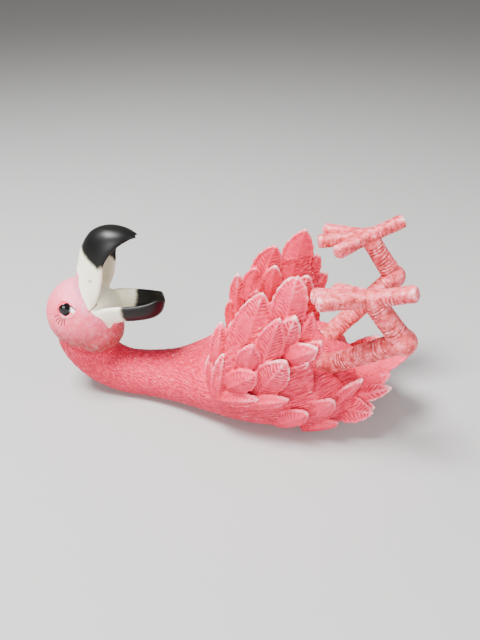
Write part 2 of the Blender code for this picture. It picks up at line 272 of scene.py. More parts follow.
# Lamps: name, place, what it looks at (metres), size and power; the room's light; the camera.
LAMPS = (
    ("overhead", (-0.45, -0.25, 1.4), (0, 0, 0.05), 0.5, 62.0),
    ("front", (-0.2, -1.5, 0.7), (0, 0, 0.08), 0.9, 26.0),
    ("side", (1.2, -0.2, 0.8), (0, 0, 0.08), 0.8, 8.0),
)
ROOM_LIGHT = 0.35
CAMERA_PLACE = (0.0842, -0.4464, 0.3704)
CAMERA_FORWARD = (-0.13266, 0.83761, -0.52992)
CAMERA_RIGHT = (0.98769, 0.15643, 0)
CAMERA_LENS = 33.75

# The skin's cell before it is thinned, and the triangles that it is thinned to.
SKIN_CELL = 0.78
SKIN_TRIANGLES = 190000

# The share over which a curve's slope is taken, and how many points are looked up at once.
SLOPE_STEP = 0.004
BATCH = 20000

BODY, FEATHER, LEG, HEAD, BILL, EYEBALL = range(6)


def unit(vector):
    return vector / np.linalg.norm(vector)


def smooth_step(value, low, high):
    """0 below low, 1 above high, with a soft way between them."""
    share = np.clip((value - low) / (high - low), 0, 1)
    return share * share * (3 - 2 * share)


def bell(value, width):
    return np.exp(-((value / width) ** 2))


def curve(table, share):
    """A Catmull-Rom curve through the rows of a table, at shares of its length from 0 to 1."""
    table = np.asarray(table, float)
    place = np.clip(share, 0, 1) * (len(table) - 1)
    i = np.minimum(place.astype(int), len(table) - 2)
    t = (place - i)[:, None]
    a, b, c, d = (table[np.clip(i + k, 0, len(table) - 1)] for k in (-1, 0, 1, 2))
    bend = (2 * a - 5 * b + 4 * c - d) * t**2
    twist = (3 * b - a - 3 * c + d) * t**3
    return 0.5 * (2 * b + (c - a) * t + bend + twist)


def squared(value, exponent):
    """A sine or cosine pushed towards a rounded square by the exponent."""
    return np.sign(value) * np.abs(value) ** (2 / exponent)


def scatter(cells, seed):
    """A number from 0 to 1 for each cell of a grid, always the same for the same cell."""
    value = np.sin(cells @ np.array((127.1, 311.7, 74.7)) + seed * 19.19) * 43758.5453
    return value - np.floor(value)


def locks(points, seed):
    """Height and depth of cut of down: jittered locks that rise towards their tips."""
    base = np.floor(points)
    first = np.full(len(points), 9.0)
    second = first.copy()
    reach = np.zeros(len(points))
    for step in itertools.product((-1, 0, 1), repeat=3):
        cell = base + step
        middle = cell + np.stack([scatter(cell, seed + k) for k in range(3)], axis=1)
        offset = points - middle
        gap = np.linalg.norm(offset, axis=1)
        second = np.minimum(second, np.maximum(first, gap))
        reach = np.where(gap < first, -offset[:, 0], reach)
        first = np.minimum(first, gap)
    crown = (np.minimum(second - first, 0.5) / 0.5) ** 0.7
    return LOCK_HEIGHT * (crown * (0.8 + 0.9 * reach) - 0.5), 1 - crown * np.clip(0.75 + reach, 0, 1)


def patches(points, size):
    """A slow, even wander between 0 and 1 over the surface."""
    x, y, z = (points / size).T
    waves = np.sin(x + 1.7 * np.sin(y)) + np.sin(y * 1.3 - 1.3 * np.sin(z))
    waves += np.sin(z * 1.1 + 1.5 * np.sin(x))
    return 0.5 + waves / 6


def climbed(x):
    """How far the strokes of the down have climbed at X."""
    places = np.linspace(-175, 175, 351)
    slopes = np.interp(places, *np.array(CLIMB).T)
    return np.interp(x, places, np.cumsum(slopes))


def groove(phase):
    """1 in the middle of a groove at each whole phase, and 0 between grooves."""
    return (1 - np.abs(np.sin(np.pi * phase))) ** GROOVE_SHARPNESS


def roll(rows, columns, place):
    """A closed skin: a grid whose sides meet and whose ends close, put in place by a function."""
    mesh = bmesh.new()
    bmesh.ops.create_grid(mesh, x_segments=rows, y_segments=columns, size=0.5)
    shares = np.array([vert.co for vert in mesh.verts]) + 0.5
    along = np.clip((shares[:, 0] * rows - 1) / (rows - 2), 0, 1)
    end = (shares[:, 0] < 0.5 / rows) | (shares[:, 0] > 1 - 0.5 / rows)
    for vert, point in zip(mesh.verts, place(along, shares[:, 1] % 1, np.where(end, 0.0, 1.0))):
        vert.co = point
    bmesh.ops.remove_doubles(mesh, verts=mesh.verts, dist=0.001)
    bmesh.ops.recalc_face_normals(mesh, faces=mesh.faces)
    return mesh


class Trunk:
    """Body and neck in one sweep along the ground, curling up at the nape."""

    zone = BODY
    tone = 0.5

    def __init__(self):
        shares = np.linspace(0, 1, TRUNK_SAMPLES)
        self.centre, self.along, self.up, halves = self.sections(shares)
        self.girth = halves.mean(axis=1)
        steps = np.linalg.norm(np.diff(self.centre, axis=0), axis=1)
        self.lengths = np.concatenate([[0], np.cumsum(steps)])

    def sections(self, share):
        rows = curve(TRUNK, share)
        step = curve(TRUNK, share + SLOPE_STEP) - curve(TRUNK, share - SLOPE_STEP)
        zero = np.zeros(len(rows))
        along = np.stack([step[:, 0], zero, step[:, 1]], axis=1)
        along /= np.linalg.norm(along, axis=1)[:, None]
        up = np.stack([along[:, 2], zero, -along[:, 0]], axis=1)
        centre = np.stack([rows[:, 0], zero, rows[:, 1]], axis=1)
        return centre, along, up, rows[:, 2:]

    def mesh(self):
        def place(share, turn, size):
            centre, _, up, halves = self.sections(share)
            angle = 2 * np.pi * turn
            side = size * halves[:, 0] * squared(np.cos(angle), TRUNK_SQUARENESS)
            rise = size * halves[:, 1] * squared(np.sin(angle), TRUNK_SQUARENESS)
            return centre + up * rise[:, None] + side[:, None] * (0, 1, 0)

        return roll(170, 80, place)

    def flow(self, points):
        """Unrolls the trunk: along it and round it from its side, in millimetres."""
        nearest = np.empty(len(points), int)
        for start in range(0, len(points), BATCH):
            stretch = points[start : start + BATCH]
            gaps = (stretch[:, None] - self.centre[None])[..., (0, 2)]
            nearest[start : start + BATCH] = (gaps**2).sum(axis=2).argmin(axis=1)
        offset = points - self.centre[nearest]
        along = self.lengths[nearest] + (offset * self.along[nearest]).sum(axis=1)
        up = (offset * self.up[nearest]).sum(axis=1)
        around = np.arctan2(up, np.abs(points[:, 1])) * self.girth[nearest]
        around = around - climbed(points[:, 0]) * smooth_step(up, -26, 4)
        return np.stack([along, around, along * 0], axis=1), along / self.lengths[-1]

    def relief(self, points, normals):
        flow, _ = self.flow(points)
        size = 0.72 + 0.28 * (points[:, 0] > -25)[:, None]
        height, cut = locks(flow / LOCK_SIZE / size, 1)
        strong = smooth_step(points[:, 0], -80, 0) * 0.4 + 0.6
        fold = crease(points)
        return height * strong * smooth_step(points[:, 2], 0.5, 6) + fold, np.maximum(cut, -fold)


class Feather:
    """A carved feather: two vanes that fall away from a keel, slanted barbs and a raised rim."""

    zone = FEATHER

    def __init__(self, root, tip, face, width, arch, point, number, two_faced=False):
        self.root = np.asarray(root, float)
        reach = np.asarray(tip, float) - self.root
        self.length = np.linalg.norm(reach)
        self.along = reach / self.length
        face = np.asarray(face, float)
        self.normal = unit(face - self.along * (face @ self.along))
        self.across = np.cross(self.along, self.normal)
        self.width, self.arch, self.point, self.two_faced = width, arch, point, two_faced
        self.tone = (math.sin(number * 12.9898) * 43758.5453) % 1

    def half_width(self, share):
        before = 1 - (1 - LEAF_ROOT_WIDTH) * (1 - share / LEAF_WIDEST) ** 2
        past = np.clip((share - LEAF_WIDEST) / (1 - LEAF_WIDEST), 0, 1)
        after = (1 - past**2) ** (0.52 + 0.5 * self.point)
        return self.width / 2 * np.where(share < LEAF_WIDEST, before, after)

    def mesh(self):
        def place(share, turn, size):
            share = share**0.8
            angle = 2 * np.pi * turn
            phase = share * self.length * 0.8 + self.tone * 6 + np.sign(np.cos(angle))
            notch = 1 + 0.04 * np.sin(phase)
            across = squared(np.cos(angle), 2.3)
            side = size * self.half_width(share) * across * notch
            thick = FEATHER_THICKNESS / 2 * (1 - 0.4 * share)
            thick = thick * np.sqrt(1 - smooth_step(share, 0.9, 1.0) * 0.8)
            rise = squared(np.sin(angle), 2.8)
            keel = KEEL_HEIGHT * (0.7 - np.abs(across)) * (1 - 0.3 * share) * size
            lift = self.arch * 4 * share * (1 - share)
            if self.two_faced:
                height = lift + size * thick * rise + keel * rise
            else:
                rise = np.where(rise > 0, 1.1 * rise, 0.8 * rise) - 0.2
                height = lift + size * thick * rise + keel + TIP_LIFT * smooth_step(share, 0.5, 1.0)
            lifted = self.root + self.normal * height[:, None]
            return lifted + self.along * (share * self.length)[:, None] + self.across * side[:, None]

        return roll(44, 32, place)

    def flow(self, points):
        """Phase of the barbs, distance from the shaft and distance from the rim."""
        offset = points - self.root
        along = offset @ self.along
        across = offset @ self.across
        share = np.clip(along / self.length, 0, 0.995)
        half = self.half_width(share)
        slope = (self.half_width(share + SLOPE_STEP) - half) / (SLOPE_STEP * self.length)
        rim = (half - np.abs(across)) / np.sqrt(1 + slope**2)
        bend = np.abs(across) ** 1.25 / np.maximum(self.width / 2, 1) ** 0.25
        sway = 0.3 * np.sin(along * 0.23 + self.tone * 9) + 0.18 * np.sin(across * 0.9 + self.tone * 5)
        phase = (along - BARB_SLANT * bend) / BARB_PITCH + sway
        return np.stack([phase, across, rim], axis=1), share

    def relief(self, points, normals):
        flow, share = self.flow(points)
        phase, across, rim = flow.T
        shown = smooth_step(np.abs(normals @ self.normal), 0.3, 0.65)
        vane = smooth_step(rim, 0.5, 2.4) * smooth_step(np.abs(across), 0.3, 2.0)
        worked = 0.4 + 0.6 * smooth_step(patches(points + self.tone * 40, 6.5), 0.38, 0.6)
        cut = groove(phase) * vane * worked
        trough = -0.45 * bell(rim - 3.0, 1.6) * smooth_step(share, 0.1, 0.5)
        lip = RIM_HEIGHT * bell(rim - 0.8, 1.1) * smooth_step(share, 0.2, 0.6)
        ridge = 0.35 * bell(across, 0.9) * (1 - share)
        return shown * (trough + lip + ridge - BARB_DEPTH * cut), shown * cut


class Limb:
    """A round limb with rings round it, like the scutes of a bird's leg."""

    zone = LEG

    def __init__(self, start, end, radii, pitch, depth, number, squareness=2.1, ruffle=0.0):
        self.start = np.asarray(start, float)
        reach = np.asarray(end, float) - self.start
        self.length = np.linalg.norm(reach)
        self.along = reach / self.length
        self.side = unit(np.cross(self.along, (0, 1, 0)))
        self.up = np.cross(self.side, self.along)
        self.radii, self.pitch, self.depth = radii, pitch, depth
        self.squareness, self.ruffle = squareness, ruffle
        self.tone = (math.sin(number * 7.233) * 43758.5453) % 1

    def mesh(self):
        def place(share, turn, size):
            angle = 2 * np.pi * turn
            radius = np.interp(share, np.linspace(0, 1, len(self.radii)), self.radii)
            radius = radius * (1 + self.ruffle * share**2 * np.sin(9 * angle + self.tone * 6))
            radius = radius * size
            cos = squared(np.cos(angle), self.squareness) * radius
            sin = squared(np.sin(angle), self.squareness) * radius
            reach = (share * self.length)[:, None]
            return self.start + self.along * reach + self.side * cos[:, None] + self.up * sin[:, None]

        return roll(44, 36, place)

    def flow(self, points):
        """Phase of the rings, distance round the limb and distance to its free end."""
        offset = points - self.start
        along = offset @ self.along
        angle = np.arctan2(offset @ self.up, offset @ self.side)
        wave = 0.3 * np.sin(angle + along * 0.17 + self.tone * 6)
        wave += 0.14 * np.sin(angle * 3 + along * 0.5)
        phase = along / self.pitch + 0.35 * np.sin(along * 0.31 + self.tone * 20) + wave
        around = angle * max(self.radii)
        return np.stack([phase, around, self.length - along], axis=1), along / self.length

    def relief(self, points, normals):
        flow, _ = self.flow(points)
        phase, around, left = flow.T
        shown = smooth_step(1 - np.abs(normals @ self.along), 0.3, 0.6) * smooth_step(left, 0.8, 2.0)
        ring = np.round(phase)
        start = 2 * np.pi * scatter(np.stack([ring, ring * 0, ring * 0], axis=1), 2 + self.tone)
        reach = np.clip(0.65 + 0.55 * np.cos(around / max(self.radii) - start), 0.2, 1)
        if self.squareness == TOE_SQUARENESS:
            reach = reach * smooth_step(-normals[:, 2], -0.7, 0.2)
        cut = shown * groove(phase) * reach
        swell = 0.8 * (patches(points, 3.2) - 0.5)
        return self.depth * (shown * (0.3 + swell) - cut), cut


class Ball:
    """A rounded form: head, eye, thigh or knee. A guide is a form whose carving runs on over it."""

    tone = 0.5

    def __init__(self, centre, radii, zone, segments, carve=None, guide=None):
        self.centre, self.radii, self.zone = np.asarray(centre, float), radii, zone
        self.segments, self.carve, self.guide = segments, carve, guide

    def mesh(self):
        mesh = bmesh.new()
        rings = self.segments // 2
        bmesh.ops.create_uvsphere(mesh, u_segments=self.segments, v_segments=rings, radius=1.0)
        bmesh.ops.rotate(mesh, verts=mesh.verts, matrix=Matrix.Rotation(math.pi / 2, 3, "X"))
        bmesh.ops.scale(mesh, verts=mesh.verts, vec=self.radii)
        bmesh.ops.translate(mesh, verts=mesh.verts, vec=self.centre)
        return mesh

    def flow(self, points):
        if self.guide is not None:
            return self.guide.flow(points)
        return points - self.centre, np.full(len(points), 0.5)

    def relief(self, points, normals):
        if self.guide is not None:
            return self.guide.relief(points, normals)
        if self.carve is not None:
            return self.carve(points, normals)
        return np.zeros(len(points)), np.zeros(len(points))


class Mandible:
    """Half of the bill, hollowed into a trough that takes the bottle's neck."""

    zone = BILL
    tone = 0.5

    def __init__(self, rows):
        self.rows = rows

    def mesh(self):
        def place(share, turn, size):
            rim_x, rim_z, back_x, back_z, width = curve(self.rows, share).T
            half = BILL_HALF_WIDTH * width
            depth = np.stack([back_x - rim_x, half * 0, back_z - rim_z], axis=1)
            reach = np.linalg.norm(depth, axis=1)
            wall = np.minimum(BILL_WALL, np.minimum(0.45 * half, 0.45 * reach))
            outside = turn < 0.5
            local = np.where(outside, turn, 1 - turn) * 2
            angle = np.pi * np.clip((local - BILL_LIP) / (1 - 2 * BILL_LIP), 0, 1)
            lip = np.clip(np.minimum(local, 1 - local) / BILL_LIP, 0, 1)
            inset = np.where(outside, 0.5 * (1 - lip), 1 - 0.5 * (1 - lip)) * wall
            rim = np.stack([rim_x, half * 0, rim_z], axis=1)
            sunk = depth * (1 - inset / reach)[:, None] * (size * np.sin(angle))[:, None]
            side = -(half - inset) * np.cos(angle) * size
            crown = depth / reach[:, None] * (-0.3 * wall * (1 - lip))[:, None]
            return rim + sunk + crown + side[:, None] * (0, 1, 0)

        return roll(90, 72, place)

    def flow(self, points):
        return points.copy(), np.full(len(points), 0.5)

    def relief(self, points, normals):
        return paint_lip(points), np.zeros(len(points))


class Fan:
    """The solid of a wing behind its feathers."""

    zone = BODY
    tone = 0.5

    def __init__(self, side):
        self.side = side

    def mesh(self):
        def place(share, turn, size):
            z, front, rear, out = curve(WING_FAN, share).T
            angle = 2 * np.pi * turn
            x = (front + rear) / 2 + size * (rear - front) / 2 * np.cos(angle)
            y = self.side * (BOTTLE_HALF_GAP + out) + size * WING_THICKNESS / 2 * np.sin(angle)
            return np.stack([x, y, z], axis=1)

        return roll(40, 40, place)

    def flow(self, points):
        """Towards the wing's tip, across that and through the wing."""
        flow = points[:, 0] * -math.cos(FAN_TILT) - points[:, 2] * math.sin(FAN_TILT)
        across = points[:, 2] * math.cos(FAN_TILT) - points[:, 0] * math.sin(FAN_TILT)
        return np.stack([flow, across, points[:, 1]], axis=1), np.full(len(points), 0.3)

    def relief(self, points, normals):
        flow, _ = self.flow(points)
        return locks(flow / LOCK_SIZE * (0.6, 0.9, 0.9), 4)


def cream_depth(points):
    """How far inside the cream part of the bill a point lies."""
    line = np.array(CREAM_LINE)[::-1]
    behind = points[:, 0] - np.interp(points[:, 2], line[:, 1], line[:, 0])
    above = points[:, 2] - np.interp(points[:, 0], *np.array(CHIN_LINE).T)
    return np.minimum(behind, above)


def in_throat(points, normals):
    """Whether a point lies in the hollow between the mandibles, where all is cream."""
    x, y, z = points.T
    return (normals[:, 0] > 0.15) & (np.abs(y) < 15) & (z > 88) & (x > -131.5)


def black_depth(points, normals):
    """How far inside the black ends of the bill a point lies."""
    x, y, z = points.T
    outer = (z - np.interp(x, *np.array(BLACK_LINE).T)) * 0.78
    inner = (z - 135.7 + 0.26 * y - 0.4 * np.minimum(x + 102, 0)) * 0.9
    inside = smooth_step(normals @ np.array((0.85, 0, -0.5)), -0.1, 0.45)
    upper = outer + (inner - outer) * inside
    lower = x + 86.3 - 0.116 * y
    return np.where(z > 120, upper, lower)


def stroke_gap(points, start, end):
    """Distance, seen from the side, from a short straight stroke."""
    start, end = np.array(start), np.array(end)
    place = points[:, (0, 2)] - start
    reach = end - start
    share = np.clip(place @ reach / (reach @ reach), 0, 1)
    return np.linalg.norm(place - share[:, None] * reach, axis=1)


def eye_rim(points):
    """Distance from the outline of the eye's almond, seen from the side."""
    x = points[:, 0] - EYE_SPOT[0]
    z = points[:, 2] - EYE_SPOT[1]
    return np.hypot(np.where(x > 0, x / 1.35, x), z) - 5.9


def crease(points):
    """The soft crease between the head and the neck."""
    gaps = [stroke_gap(points, *pair) for pair in zip(CREASE, CREASE[1:])]
    return -bell(np.minimum.reduce(gaps), CREASE_WIDTH)


def paint_lip(points):
    """The raised edge of the bill's paint on the face."""
    height, width = PAINT_LIP
    return height * bell(cream_depth(points), width)


def face(points, normals):
    """Eyelids, lashes, the crease under the cheek and the lip where the bill's paint starts."""
    lids = LID_HEIGHT * bell(eye_rim(points) - 0.7, 0.9)
    carved = np.zeros(len(points))
    for start, end in LASHES:
        carved = np.maximum(carved, bell(stroke_gap(points, start, end), 0.75))
    fold = crease(points)
    return lids - LASH_DEPTH * carved + paint_lip(points) + fold, -0.8 * fold


def pose(x, out, z, side=1):
    return np.array((x, out * side, z), float)


def beside_bottle(x, out, z, side):
    """A point that stands out from the bottle's side, so that the bottle still fits."""
    return np.array((x, side * (BOTTLE_HALF_GAP + out), z), float)


def wing_feather(side, row, number, outwards=1, two_faced=False):
    root, tip, width, arch, point = row
    facing = (0, side * outwards, 0.15)
    ends = beside_bottle(*root, side), beside_bottle(*tip, side)
    return Feather(*ends, facing, width, arch, point, number, two_faced)


def body_feather(side, row, number):
    root, tip, width, arch, point, facing = row
    facing = (facing[0], facing[1] * side, facing[2])
    return Feather(pose(*root, side), pose(*tip, side), facing, width, arch, point, number)


def leg(side, number):
    """Shin, ruffled cuff, knee, shank, foot and toes."""
    root, knee, hub = (beside_bottle(*point, side) for point in (LEG_ROOT, KNEES[side], HUB))
    ends = MIDDLE_TOE, INNER_TOES[side], OUTER_TOE, HIND_TOE
    toes = [beside_bottle(*point, side) for point in ends]
    shin = SHIN_RADIUS
    cuff = [root + (knee - root) * share for share in CUFF_STRETCH]
    cuff_radii = [shin * share for share in CUFF_SHARES]
    top = shin * LEG_ROOT_SHARE
    forms = [
        Limb(root, knee, (top, shin, shin, shin), RING_PITCH, RING_DEPTH, number),
        Limb(*cuff, cuff_radii, RING_PITCH, 0, number + 1, ruffle=CUFF_RUFFLE),
        Ball(knee, (KNEE_RADIUS,) * 3, LEG, 40),
        Limb(knee, hub, (top, shin, shin), RING_PITCH, RING_DEPTH, number + 2),
        Ball(hub, (TOE_RADIUS * FOOT_BALL_SHARE,) * 3, LEG, 32),
    ]
    radii = (TOE_RADIUS,) * 20 + (TOE_RADIUS * 0.8,)
    depth = RING_DEPTH * 0.8
    for i, toe in enumerate(toes):
        forms.append(Limb(hub, toe, radii, TOE_RING_PITCH, depth, number + 3 + i, TOE_SQUARENESS))
    return forms


def figure():
    """All forms that are fused into the casting."""
    trunk = Trunk()
    forms = [
        trunk,
        Ball(HEAD_CENTRE, HEAD_RADII, HEAD, 72, carve=face),
        Ball(JAW_CENTRE, JAW_RADII, HEAD, 56, carve=face),
        Mandible(UPPER_BILL),
        Mandible(LOWER_BILL),
    ]
    for side in (-1, 1):
        number = 100 * side
        forms.append(Ball(pose(*EYE, side), EYE_RADII, EYEBALL, 40))
        forms.append(Ball(pose(*THIGH, side), THIGH_RADII, BODY, 48, guide=trunk))
        forms.append(Fan(side))
        for first, rows, feather, options in (
            (0, WING_EDGE, wing_feather, {"two_faced": True}),
            (20, WING_COVERTS, wing_feather, {}),
            (40, WING_INNER, wing_feather, {"outwards": -1}),
            (60, FLANK + TAIL, body_feather, {}),
        ):
            forms += [feather(side, row, number + first + i, **options) for i, row in enumerate(rows)]
        forms += leg(side, number + 80)
    forms += [wing_feather(-1, row, 5 + i) for i, row in enumerate(NEAR_FEATHERS)]
    forms += [wing_feather(1, row, 7, two_faced=True) for row in FAR_FEATHERS]
    forms.append(body_feather(1, TAIL_MIDDLE, 8))
    forms.append(body_feather(-1, NEAR_PLUME, 9))
    forms.append(body_feather(1, FAR_PLUME, 10))
    return forms


def corners_of(mesh):
    """Coordinates and normals of a mesh's vertices."""
    points = np.empty(len(mesh.vertices) * 3)
    normals = np.empty(len(mesh.vertices) * 3)
    mesh.vertices.foreach_get("co", points)
    mesh.vertices.foreach_get("normal", normals)
    return points.reshape(-1, 3), normals.reshape(-1, 3)


def worked(name, mesh, modifiers):
    """The mesh after a list of modifiers: type and settings."""
    bench = bpy.data.objects.new(name, mesh)
    bpy.context.scene.collection.objects.link(bench)
    for kind, settings in modifiers:
        modifier = bench.modifiers.new(kind.lower(), kind)
        for setting, value in settings.items():
            setattr(modifier, setting, value)
    graph = bpy.context.evaluated_depsgraph_get()
    made = bpy.data.meshes.new_from_object(bench.evaluated_get(graph))
    bpy.data.objects.remove(bench)
    bpy.data.meshes.remove(mesh)
    return made


def fuse(forms):
    """One skin round all forms, the forms' own faces to look things up on, and who owns them."""
    joined = bmesh.new()
    owners = []
    for number, form in enumerate(forms):
        own = form.mesh()
        data = bpy.data.meshes.new("form")
        own.to_mesh(data)
        own.free()
        joined.from_mesh(data)
        owners += [number] * len(data.polygons)
        bpy.data.meshes.remove(data)
    joined.faces.ensure_lookup_table()
    tree = BVHTree.FromBMesh(joined)
    raw = bpy.data.meshes.new("forms")
    joined.to_mesh(raw)
    joined.free()
    melt = "REMESH", {"mode": "VOXEL", "voxel_size": SKIN_CELL, "adaptivity": 0.0}
    soften = "SMOOTH", {"factor": 0.5, "iterations": 3}
    return worked("skin", raw, (melt, soften)), tree, np.array(owners)


def owner_at(points, tree, owners):
    return owners[[tree.find_nearest(point)[2] for point in points]]


def blurred(values, edges, rounds):
    """Averages each vertex's values with its neighbours', round after round."""
    count = len(values)
    ends = np.concatenate([edges[:, 0], edges[:, 1]])
    others = np.concatenate([edges[:, 1], edges[:, 0]])
    degree = np.maximum(np.bincount(ends, minlength=count), 1)
    for _ in range(rounds):
        columns = [np.bincount(ends, values[others, k], count) / degree for k in range(values.shape[1])]
        values = 0.5 * values + 0.5 * np.stack(columns, axis=1)
    return values


def carve(skin, forms, tree, owners):
    """Cuts each form's carving into the skin, and measures what stands out and what lies deep."""
    points, normals = corners_of(skin)
    belongs = owner_at(points, tree, owners)
    height = np.zeros(len(points))
    cut = np.zeros(len(points))
    for number, form in enumerate(forms):
        mine = belongs == number
        if mine.any():
            height[mine], cut[mine] = form.relief(points[mine], normals[mine])
    points = points + normals * height[:, None]
    low, high = (np.array(corner) / MM for corner in cad_box)
    low[2] = 0.0
    points = np.clip(points, low, high)
    skin.vertices.foreach_set("co", points.ravel())
    skin.update()
    points, normals = corners_of(skin)
    edges = np.empty(len(skin.edges) * 2, int)
    skin.edges.foreach_get("vertices", edges)
    edges = edges.reshape(-1, 2)
    fine = ((points - blurred(points, edges, 4)) * normals).sum(axis=1)
    broad = ((points - blurred(points, edges, 60)) * normals).sum(axis=1)
    return points, np.stack([fine, broad, cut], axis=1)


def thinned(skin):
    """The skin thinned to triangles, without faces that have no area or lie back to back."""
    triangles = sum(len(face.vertices) - 2 for face in skin.polygons)
    thin = worked("thin", skin, [("DECIMATE", {"ratio": min(1.0, SKIN_TRIANGLES / triangles)})])
    mesh = bmesh.new()
    mesh.from_mesh(thin)
    bmesh.ops.triangulate(mesh, faces=mesh.faces)
    bmesh.ops.dissolve_degenerate(mesh, dist=0.0001, edges=mesh.edges)
    bmesh.ops.triangulate(mesh, faces=mesh.faces)
    sharing = {}
    for face in mesh.faces:
        sharing.setdefault(frozenset(face.verts), []).append(face)
    twins = [face for faces in sharing.values() if len(faces) > 1 for face in faces]
    bmesh.ops.delete(mesh, geom=twins, context="FACES")
    mesh.to_mesh(thin)
    mesh.free()
    return thin


def mark_points(thin, points, normals, dense, stand):
    """Writes on each point how it stands out, how deep it is cut and where the bill's colours lie."""
    lookup = KDTree(len(dense))
    for i, point in enumerate(dense):
        lookup.insert(point, i)
    lookup.balance()
    nearest = [lookup.find(point)[1] for point in points]
    marks = dict(zip(("raised", "open", "cut"), stand[nearest].T))
    marks["cream"] = np.where(in_throat(points, normals), 3.0, cream_depth(points))
    marks["black"] = black_depth(points, normals)
    for name, values in marks.items():
        thin.attributes.new(name, "FLOAT", "POINT").data.foreach_set("value", values)


def mark_corners(thin, points, forms, tree, owners):
    """Writes on each face's corners how its form runs there, and the form's zone, share and tone."""
    corners = np.empty(len(thin.loops), int)
    thin.loops.foreach_get("vertex_index", corners)
    corners = corners.reshape(-1, 3)
    belongs = owner_at(points[corners].mean(axis=1), tree, owners)
    flow = np.zeros((len(corners), 3, 3))
    place = np.zeros((len(corners), 3, 3))
    for number, form in enumerate(forms):
        mine = belongs == number
        if mine.any():
            own_flow, share = form.flow(points[corners[mine]].reshape(-1, 3))
            flow[mine] = own_flow.reshape(-1, 3, 3)
            place[mine, :, 0] = form.zone
            place[mine, :, 1] = share.reshape(-1, 3)
            place[mine, :, 2] = form.tone
    for name, values in (("flow", flow), ("place", place)):
        thin.attributes.new(name, "FLOAT_VECTOR", "CORNER").data.foreach_set("vector", values.ravel())


def dressed(skin, forms, tree, owners, dense, stand):
    """The thinned skin in metres, marked for the paint."""
    thin = thinned(skin)
    points, normals = corners_of(thin)
    mark_points(thin, points, normals, dense, stand)
    mark_corners(thin, points, forms, tree, owners)
    thin.transform(Matrix.Scale(MM, 4))
    thin.polygons.foreach_set("use_smooth", np.ones(len(thin.polygons), bool))
    thin.update()
    return thin


class Wire:
    """One output of a shader node; Python's operators stand for Math nodes."""

    def __init__(self, paint, socket):
        self.paint, self.socket = paint, socket

    def take(self, name):
        return Wire(self.paint, self.socket.node.outputs[name])

    def math(self, operation, *values):
        return self.paint.node("ShaderNodeMath", {"operation": operation}, dict(enumerate(values)))

    def __add__(self, other):
        return self.math("ADD", self, other)

    __radd__ = __add__

    def __sub__(self, other):
        return self.math("SUBTRACT", self, other)

    def __rsub__(self, other):
        return self.math("SUBTRACT", other, self)

    def __mul__(self, other):
        return self.math("MULTIPLY", self, other)

    __rmul__ = __mul__

    def __truediv__(self, other):
        return self.math("DIVIDE", self, other)

    def __pow__(self, other):
        return self.math("POWER", self, other)

    def __abs__(self):
        return self.math("ABSOLUTE", self)

    def least(self, other):
        return self.math("MINIMUM", self, other)

    def most(self, other):
        return self.math("MAXIMUM", self, other)

    def ease(self, low, high):
        """0 below low, 1 above high, and a soft way between; the other way round if low is higher."""
        inputs = {"Value": self, "From Min": min(low, high), "From Max": max(low, high)}
        inputs.update({"To Min": float(low > high), "To Max": float(low < high)})
        return self.paint.node("ShaderNodeMapRange", {"interpolation_type": "SMOOTHSTEP"}, inputs)


class Paint:
    """The nodes of one material."""

    def __init__(self, name):
        self.material = bpy.data.materials.new(name)
        self.material.use_nodes = True
        self.tree = self.material.node_tree
        self.shader = self.tree.nodes["Principled BSDF"]

    def node(self, kind, settings=None, inputs=None, output=0):
        """A node of this type, its settings, and the values or wires of its sockets."""
        made = self.tree.nodes.new(kind)
        for setting, value in (settings or {}).items():
            setattr(made, setting, value)
        for key, value in (inputs or {}).items():
            self.join(made.inputs[key], value)
        return Wire(self, made.outputs[output])

    def join(self, socket, value):
        if isinstance(value, Wire):
            self.tree.links.new(value.socket, socket)
        else:
            socket.default_value = value

    def attribute(self, name, output="Fac"):
        return self.node("ShaderNodeAttribute", {"attribute_name": name}, output=output)

    def parts(self, vector):
        split = self.node("ShaderNodeSeparateXYZ", inputs={0: vector})
        return split, split.take("Y"), split.take("Z")

    def vector(self, operation, *values):
        return self.node("ShaderNodeVectorMath", {"operation": operation}, dict(enumerate(values)))

    def noise(self, vector, scale, detail=2.0, rough=0.5):
        inputs = {"Vector": vector, "Scale": scale, "Detail": detail, "Roughness": rough}
        return self.node("ShaderNodeTexNoise", inputs=inputs, output="Fac")

    def blend(self, factor, first, second):
        """The first colour where the factor is 0, the second where it is 1."""
        settings = {"data_type": "RGBA", "clamp_factor": True}
        return self.node("ShaderNodeMix", settings, {0: factor, 6: first, 7: second}, output=2)

    def set(self, **values):
        for name, value in values.items():
            self.join(self.shader.inputs[name.replace("_", " ")], value)


def rgb(red, green, blue):
    """A colour given as a screen shows it, from 0 to 255."""
    shares = [value / 255 for value in (red, green, blue)]
    linear = [s / 12.92 if s <= 0.04 else ((s + 0.055) / 1.055) ** 2.4 for s in shares]
    return (*linear, 1.0)


def stroke_paint(x, z, start, end):
    """Distance, seen from the side, from a short straight brush stroke."""
    reach_x, reach_z = end[0] - start[0], end[1] - start[1]
    off_x, off_z = x - start[0], z - start[1]
    along = (off_x * reach_x + off_z * reach_z) / (reach_x**2 + reach_z**2)
    along = along.most(0.0).least(1.0)
    return ((off_x - along * reach_x) ** 2.0 + (off_z - along * reach_z) ** 2.0) ** 0.5


